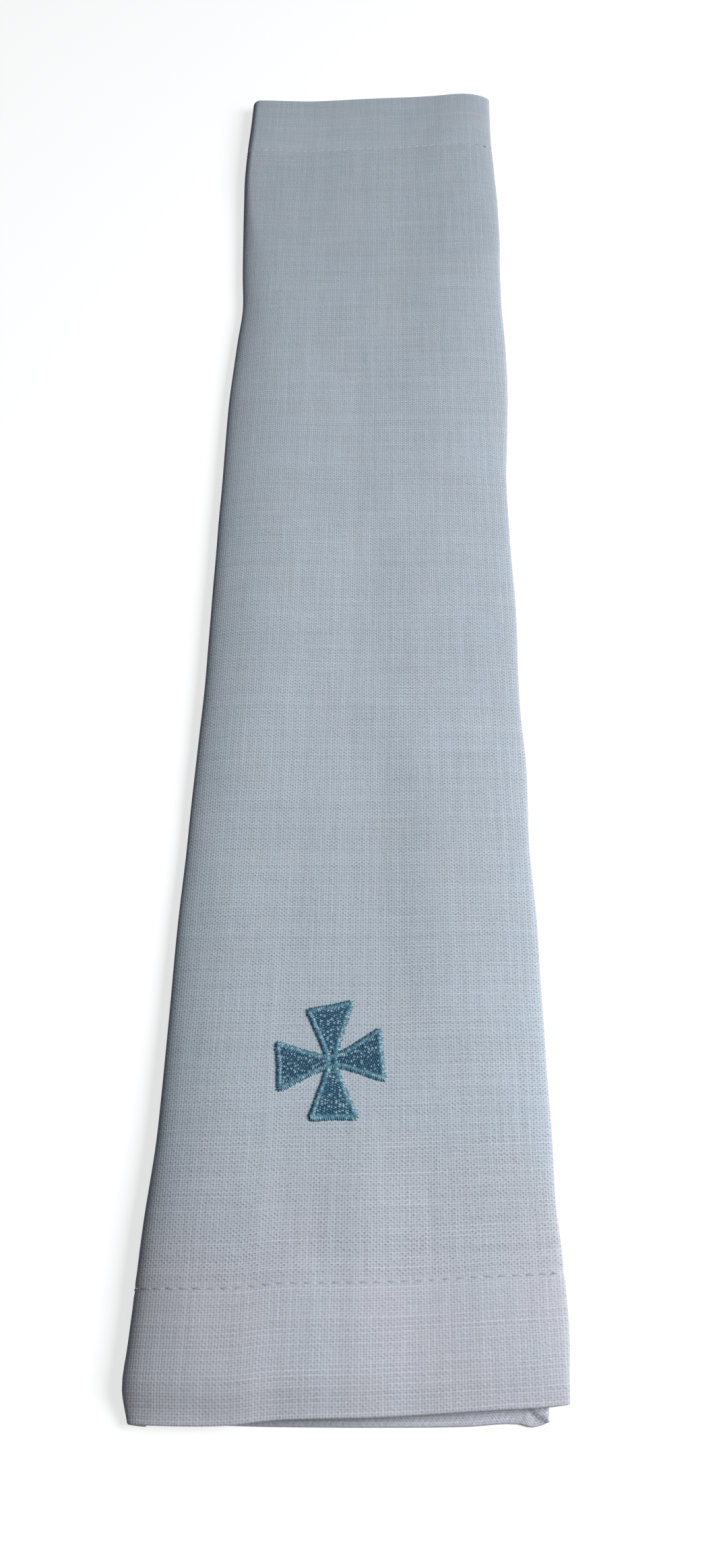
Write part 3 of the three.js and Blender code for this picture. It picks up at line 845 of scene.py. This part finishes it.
def thread_glints():
    """Painted highlights: small bright spots at chance places, where a lustrous thread turns over and
    catches the light.
    """
    tree, given, result = new_group(
        "thread_glints",
        {"Place": "NodeSocketVector", "Spacing": "NodeSocketFloat", "Size": "NodeSocketFloat"},
        {"Glint": "NodeSocketFloat"},
    )
    scale = maths(tree, "DIVIDE", 1.0, given.outputs["Spacing"])
    flat = node(tree, "ShaderNodeSeparateXYZ", {0: given.outputs["Place"]})
    flat_place = pair(tree, flat.outputs[0], flat.outputs[1])
    cell_inputs = {"Vector": flat_place, "Scale": scale, "Randomness": 0.9}
    cells = node(tree, "ShaderNodeTexVoronoi", cell_inputs, voronoi_dimensions="2D")
    strength = node(tree, "ShaderNodeSeparateXYZ", {0: cells.outputs["Color"]}).outputs[0]
    reach = maths(tree, "MULTIPLY", given.outputs["Size"], spread(tree, strength, *GLINT_SIZES))
    spot = maths(tree, "SUBTRACT", 1.0, maths(tree, "DIVIDE", cells.outputs["Distance"], reach))
    own_light = spread(tree, strength, *GLINT_LIGHTS)
    bright = maths(tree, "MULTIPLY", maths(tree, "MAXIMUM", spot, 0.0), own_light)
    tree.links.new(maths(tree, "MINIMUM", bright, 1.0), result.inputs["Glint"])
    return tree


twist_group = thread_twist()
glint_group = thread_glints()


def thread_material(name, dark, light, roughness, ply_length, glint=None):
    """A thread with a painted highlight on each stitch's crown, stronger on some stitches than others,
    painted shade between its plies, and painted glints if it has any.
    """
    material = bpy.data.materials.new(name)
    material.use_nodes = True
    tree = material.node_tree
    shader = tree.nodes["Principled BSDF"]
    place = tree.nodes.new("ShaderNodeTexCoord").outputs["Object"]
    twist = node(tree, "ShaderNodeGroup", node_tree=twist_group)
    tree.links.new(place, twist.inputs["Place"])
    twist.inputs["Ply Length"].default_value = ply_length
    own = node(tree, "ShaderNodeAttribute", attribute_name="stitch gleam").outputs["Fac"]
    crown = node(tree, "ShaderNodeAttribute", attribute_name="thread crown").outputs["Fac"]
    # Painted highlight on each stitch's crown, as strong as the stitch's own chance value, and painted
    # shade between the plies.
    gleam = maths(tree, "MULTIPLY", maths(tree, "POWER", crown, GLEAM_SHARPNESS), own)
    ply_shade = spread(tree, twist.outputs[0], 0.0, 1 - GLEAM_LIGHT)
    mixed = maths(tree, "ADD", maths(tree, "MULTIPLY", gleam, GLEAM_LIGHT), ply_shade)
    colour = node(tree, "ShaderNodeMix", {0: mixed, 6: dark, 7: light}, data_type="RGBA").outputs[2]
    if glint:
        spots = node(tree, "ShaderNodeGroup", node_tree=glint_group)
        tree.links.new(place, spots.inputs["Place"])
        spots.inputs["Spacing"].default_value = glint["spacing"]
        spots.inputs["Size"].default_value = glint["size"]
        spotted_inputs = {0: spots.outputs[0], 6: colour, 7: glint["colour"]}
        colour = node(tree, "ShaderNodeMix", spotted_inputs, data_type="RGBA").outputs[2]
    tree.links.new(colour, shader.inputs["Base Color"])
    bump_inputs = {"Height": twist.outputs[0], "Distance": PLY_BUMP, "Strength": 0.6}
    bump = node(tree, "ShaderNodeBump", bump_inputs)
    tree.links.new(bump.outputs[0], shader.inputs["Normal"])
    shader.inputs["Roughness"].default_value = roughness
    return material


sewing_thread = thread_material("sewing_thread", SEWING_THREAD_DARK, SEWING_THREAD_LIGHT, 0.6, 0.5 * MM)
right_facing = surface_directions(right_side)
wrong_facing = -surface_directions(wrong_side)


def nearest(places, place):
    return int(np.argmin(np.abs(places - place)))


near_row = nearest(stations, NEAR_END + NEAR_HEM - SEAM_FROM_HEM_EDGE)
far_row = nearest(stations, FAR_END - FAR_HEM + SEAM_FROM_HEM_EDGE)
first_column = nearest(across, SIDE_HEM - SEAM_FROM_HEM_EDGE)
last_column = nearest(across, flat_width - SIDE_HEM + SEAM_FROM_HEM_EDGE)
across_seam = slice(first_column, last_column + 1)
along_seam = slice(near_row, far_row + 1)
seam_paths = []
for points, facing in ((right_side, right_facing), (wrong_side, wrong_facing)):
    seam_paths += [(points[row, across_seam], facing[row, across_seam]) for row in (near_row, far_row)]
    seam_paths += [(points[along_seam, k], facing[along_seam, k]) for k in (first_column, last_column)]
hem_stitches = sewn(path_object("hem_stitches", seam_paths), thread=sewing_thread, **HEM_STITCH)
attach(hem_stitches, "root")


# The embroidered cross. Four flared arms of lustrous blue-green thread, worked by machine on the front
# panel: a padding, then rows of short fill stitches, then a satin border round each arm.

CROSS = dict(x=-6.1, y=-167.0, inner=2.6, hollow=0.35, flare=1.12)
FLARE_START = CROSS["inner"] * 0.8

# Each arm's direction in degrees from +X, its reach, its widths near the centre and at its end, and the
# degrees by which its end leans.
ARMS = rows(
    "direction reach waist end lean",
    (94, 15.9, 3.9, 13.7, 8),
    (186, 14.4, 4.5, 14.7, -1),
    (273, 15.6, 3.9, 13.8, -1),
    (368, 13.8, 4.5, 15.9, -3),
)

# The padding, in rings from the centre to its rim.
PADDING_HEIGHT = 0.3
PADDING_FOOT = 0.1
PADDING_INSET = 0.7
PADDING_RINGS = (0.2, 0.4, 0.6, 0.75, 0.88, 0.96, 1.0)
PADDING_ROUNDNESS = 8
LEAST_HALF_WIDTH = 0.25
SIDE_POINTS = 8
END_POINTS = 10

# The satin border, whose stitches lie across its line.
BORDER_WIDTH = 1.9
BORDER_HEIGHT = 0.3
BORDER_FROM_CENTRE = 0.2
BORDER_POINTS = 16
BORDER_STITCH = dict(
    spacing=0.27 * MM,
    stitch_length=BORDER_WIDTH * MM,
    stitch_rise=0.65 * MM,
    end_depth=0.25 * MM,
    thread_radius=0.17 * MM,
    turn=math.radians(90),
    zigzag=math.radians(6),
    turn_spread=math.radians(10),
    length_spread=0.14,
)

# The fill, whose rows run across each arm and a little way under the border.
FILL_HEIGHT = 0.31
FILL_ROW_SPACING = 0.3
FILL_ROW_SHIFT = 0.618
FILL_LENGTH = 1.15
FILL_UNDER_END = 0.6
FILL_UNDER_SIDE = 0.8
FILL_PAST_ROOM = 0.3
FILL_STITCH = dict(
    spacing=FILL_LENGTH * 0.999 * MM,
    stitch_length=FILL_LENGTH * 1.1 * MM,
    stitch_rise=0.12 * MM,
    end_depth=0.08 * MM,
    thread_radius=0.26 * MM,
    turn_spread=math.radians(6),
)

FILL_DARK = (0.028, 0.115, 0.205, 1)
FILL_LIGHT = (0.042, 0.155, 0.26, 1)
FILL_GLINT = dict(spacing=0.88 * MM, size=0.42, colour=(0.5, 0.72, 0.8, 1))
# The border is sewn with the fill's thread; its lighter colours are painted sheen, the light its satin
# stitches catch.
BORDER_SHEEN_DARK = (0.06, 0.215, 0.335, 1)
BORDER_SHEEN_LIGHT = (0.26, 0.52, 0.65, 1)
BORDER_GLINT = dict(spacing=0.8 * MM, size=0.55, colour=(0.5, 0.74, 0.83, 1))


def half_width(arm, along):
    share = np.clip((along - FLARE_START) / (arm["reach"] - FLARE_START), 0, 1)
    return (arm["waist"] + (arm["end"] - arm["waist"]) * share ** CROSS["flare"]) / 2


def end_at(arm, off_axis):
    """How far the arm reaches at a distance off its axis: its end leans, and is a little hollow."""
    lean = math.tan(math.radians(arm["lean"])) * off_axis
    return arm["reach"] + lean - CROSS["hollow"] * (1 - (2 * off_axis / arm["end"]) ** 2)


def arm_side(arm, sign, start, inset, count):
    """Points of one side of an arm, from near its centre to the corner, moved in by the inset."""
    corner = sign * (arm["end"] / 2 - inset)
    along = np.linspace(start, end_at(arm, corner) - inset, count)
    return np.stack([sign * np.maximum(half_width(arm, along) - inset, LEAST_HALF_WIDTH), along], -1)


def arm_end(arm, inset, count):
    """Points of an arm's end between its two corners, moved in by the inset."""
    off_axis = np.linspace(arm["end"] / 2 - inset, inset - arm["end"] / 2, count)
    return np.stack([off_axis, end_at(arm, off_axis) - inset], -1)


def arm_placed(arm, points):
    """Points of an arm, off its axis and along it, as X and Y on the towel."""
    turn = math.radians(arm["direction"] - 90)
    x = CROSS["x"] + points[:, 0] * math.cos(turn) - points[:, 1] * math.sin(turn)
    y = CROSS["y"] + points[:, 0] * math.sin(turn) + points[:, 1] * math.cos(turn)
    return np.stack([x, y], -1)


ABOVE = 0.1
bpy.context.view_layer.update()


def on_cloth(places, height):
    """Points at a height over the front panel at these X and Y, and the directions it faces there."""
    points = []
    facing = []
    for x, y in places:
        over = Vector(((x + FRAME_SHIFT[0]) * MM, (y + FRAME_SHIFT[1]) * MM, ABOVE))
        _, spot, normal, _ = towel.ray_cast(over, (0, 0, -1))
        points.append((x, y, spot.z / MM + height))
        facing.append(normal)
    return np.array(points), np.array(facing)


outline = []
for arm, following in zip(ARMS, ARMS[1:] + ARMS[:1]):
    rim_points = [arm_side(arm, 1, FLARE_START, PADDING_INSET, SIDE_POINTS)]
    rim_points += [arm_end(arm, PADDING_INSET, END_POINTS)[1:-1]]
    rim_points += [arm_side(arm, -1, FLARE_START, PADDING_INSET, SIDE_POINTS)[::-1]]
    outline += arm_placed(arm, np.concatenate(rim_points)).tolist()
    next_direction = following["direction"] + (360 if following["direction"] < arm["direction"] else 0)
    between = math.radians((arm["direction"] + next_direction) / 2)
    inner = CROSS["inner"] - PADDING_INSET
    outline.append([CROSS["x"] + inner * math.cos(between), CROSS["y"] + inner * math.sin(between)])
outline = np.array(outline)
centre = np.array([CROSS["x"], CROSS["y"]])
padding_points = [*on_cloth([centre], PADDING_HEIGHT)[0]]
for ring in PADDING_RINGS:
    ring_height = PADDING_HEIGHT * math.sqrt(1 - ring**PADDING_ROUNDNESS)
    padding_points += [*on_cloth(centre + (outline - centre) * ring, ring_height)[0]]
padding_points += [*on_cloth([centre], -PADDING_FOOT)[0]]
count = len(outline)
starts = [1 + ring * count for ring in range(len(PADDING_RINGS))]
padding_faces = []
for k in range(count):
    after = (k + 1) % count
    padding_faces.append((0, 1 + k, 1 + after))
    padding_faces += [(a + k, b + k, b + after, a + after) for a, b in zip(starts, starts[1:])]
    padding_faces.append((starts[-1] + k, len(padding_points) - 1, starts[-1] + after))
padding = mesh_object("cross_padding", padding_points, padding_faces)
padding.data.shade_smooth()
fill_thread = thread_material("fill_thread", FILL_DARK, FILL_LIGHT, 0.45, 0.45 * MM, FILL_GLINT)
padding.data.materials.append(fill_thread)

fill_paths = []
border_paths = []
for arm in ARMS:
    last_row = arm["reach"] - BORDER_WIDTH * FILL_UNDER_END
    for number, along in enumerate(np.arange(BORDER_WIDTH, last_row, FILL_ROW_SPACING)):
        room = half_width(arm, along) - BORDER_WIDTH * FILL_UNDER_SIDE
        start = -room + number * FILL_ROW_SHIFT % 1 * FILL_LENGTH
        off_axis = start + FILL_LENGTH * np.arange(max(int(2 * room / FILL_LENGTH), 0) + 1)
        off_axis = off_axis[off_axis < room + FILL_LENGTH * FILL_PAST_ROOM]
        if len(off_axis) > 1:
            row = np.stack([off_axis, np.full(len(off_axis), along)], -1)
            fill_paths.append(on_cloth(arm_placed(arm, row), FILL_HEIGHT))
    inset = BORDER_WIDTH / 2
    border = [arm_side(arm, 1, BORDER_FROM_CENTRE, inset, BORDER_POINTS)]
    border += [arm_end(arm, inset, BORDER_POINTS)[1:-1]]
    border += [arm_side(arm, -1, BORDER_FROM_CENTRE, inset, BORDER_POINTS)[::-1]]
    border_paths.append(on_cloth(arm_placed(arm, np.concatenate(border)), BORDER_HEIGHT))

cross_fill = sewn(path_object("cross_fill", fill_paths), thread=fill_thread, **FILL_STITCH)
# The border's thread is the fill's, made lighter by painted sheen.
border_thread = thread_material("border_thread", BORDER_SHEEN_DARK, BORDER_SHEEN_LIGHT, 0.4, 0.5 * MM, BORDER_GLINT)
cross_border = sewn(path_object("cross_border", border_paths), thread=border_thread, **BORDER_STITCH)
for piece in (padding, cross_fill, cross_border):
    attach(piece, "root")
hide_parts("embroidered_cross")


# The stage: a plain pale floor and backdrop, the camera where the photograph was taken from, and a soft
# studio light from the right, with a weak and warmer one beside the near end.

FLOOR_SIZE = 3.0
floor_mesh = bpy.data.meshes.new("floor")
half = FLOOR_SIZE / 2
floor_corners = [(-half, -half, 0), (half, -half, 0), (half, half, 0), (-half, half, 0)]
floor_mesh.from_pydata(floor_corners, [], [(0, 1, 2, 3)])
floor = bpy.data.objects.new("floor", floor_mesh)
bpy.context.scene.collection.objects.link(floor)
floor_paint = bpy.data.materials.new("floor_paper")
floor_paint.use_nodes = True
tree = floor_paint.node_tree
tree.nodes.clear()
paper = node(tree, "ShaderNodeBsdfDiffuse", {"Color": (0.6, 0.6, 0.6, 1)})
glow = node(tree, "ShaderNodeEmission", {"Color": (1, 1, 1, 1), "Strength": 0.72})
lit = node(tree, "ShaderNodeAddShader", {0: paper.outputs[0], 1: glow.outputs[0]})
seen = node(tree, "ShaderNodeLightPath").outputs["Is Camera Ray"]
shown = node(tree, "ShaderNodeMixShader", {0: seen, 1: paper.outputs[0], 2: lit.outputs[0]})
node(tree, "ShaderNodeOutputMaterial", {"Surface": shown.outputs[0]})
floor_mesh.materials.append(floor_paint)

CAMERA_PLACE = (0.01034, -0.28860, 0.33314)
CAMERA_DOWN = math.radians(58.166)
CAMERA_TURN = math.radians(-2.645)
CAMERA_ROLL = math.radians(-2.209)
camera_data = bpy.data.cameras.new("camera")
camera_data.lens = 30.95
camera_data.sensor_width = 36.0
camera_data.clip_start = 0.01
camera = bpy.data.objects.new("camera", camera_data)
bpy.context.scene.collection.objects.link(camera)
level = math.cos(CAMERA_DOWN)
forward = Vector((math.sin(CAMERA_TURN) * level, math.cos(CAMERA_TURN) * level, -math.sin(CAMERA_DOWN)))
rightward = Vector((math.cos(CAMERA_TURN), -math.sin(CAMERA_TURN), 0))
rightward = Matrix.Rotation(-CAMERA_ROLL, 3, forward) @ rightward
upward = rightward.cross(forward)
facing = Matrix((rightward, upward, -forward)).transposed().to_4x4()
camera.matrix_world = Matrix.Translation(CAMERA_PLACE) @ facing
bpy.context.scene.camera = camera


def softbox(name, place, aim, size, watts, colour):
    data = bpy.data.lights.new(name, "AREA")
    data.shape = "SQUARE"
    data.size = size
    data.energy = watts
    data.color = colour
    lamp = bpy.data.objects.new(name, data)
    bpy.context.scene.collection.objects.link(lamp)
    lamp.location = place
    lamp.rotation_euler = (Vector(aim) - Vector(place)).to_track_quat("-Z", "Y").to_euler()


softbox("key_light", (0.69, -0.135, 0.56), (0, 0, 0), 0.5, 8.3, (0.95, 0.98, 1.0))
softbox("near_light", (0.5, -0.5, 0.28), (0.03, -0.24, 0), 0.2, 0.35, (1.0, 0.88, 0.86))
world = bpy.data.worlds.new("studio")
world.use_nodes = True
tree = world.node_tree
tree.nodes.clear()
dim = node(tree, "ShaderNodeBackground", {"Color": (0.93, 0.96, 1.0, 1), "Strength": 0.05})
pale = node(tree, "ShaderNodeBackground", {"Color": (0.93, 0.95, 0.97, 1), "Strength": 0.9})
seen = node(tree, "ShaderNodeLightPath").outputs["Is Camera Ray"]
sky = node(tree, "ShaderNodeMixShader", {0: seen, 1: dim.outputs[0], 2: pale.outputs[0]})
node(tree, "ShaderNodeOutputWorld", {"Surface": sky.outputs[0]})
bpy.context.scene.world = world
bpy.context.scene.view_settings.view_transform = "Standard"
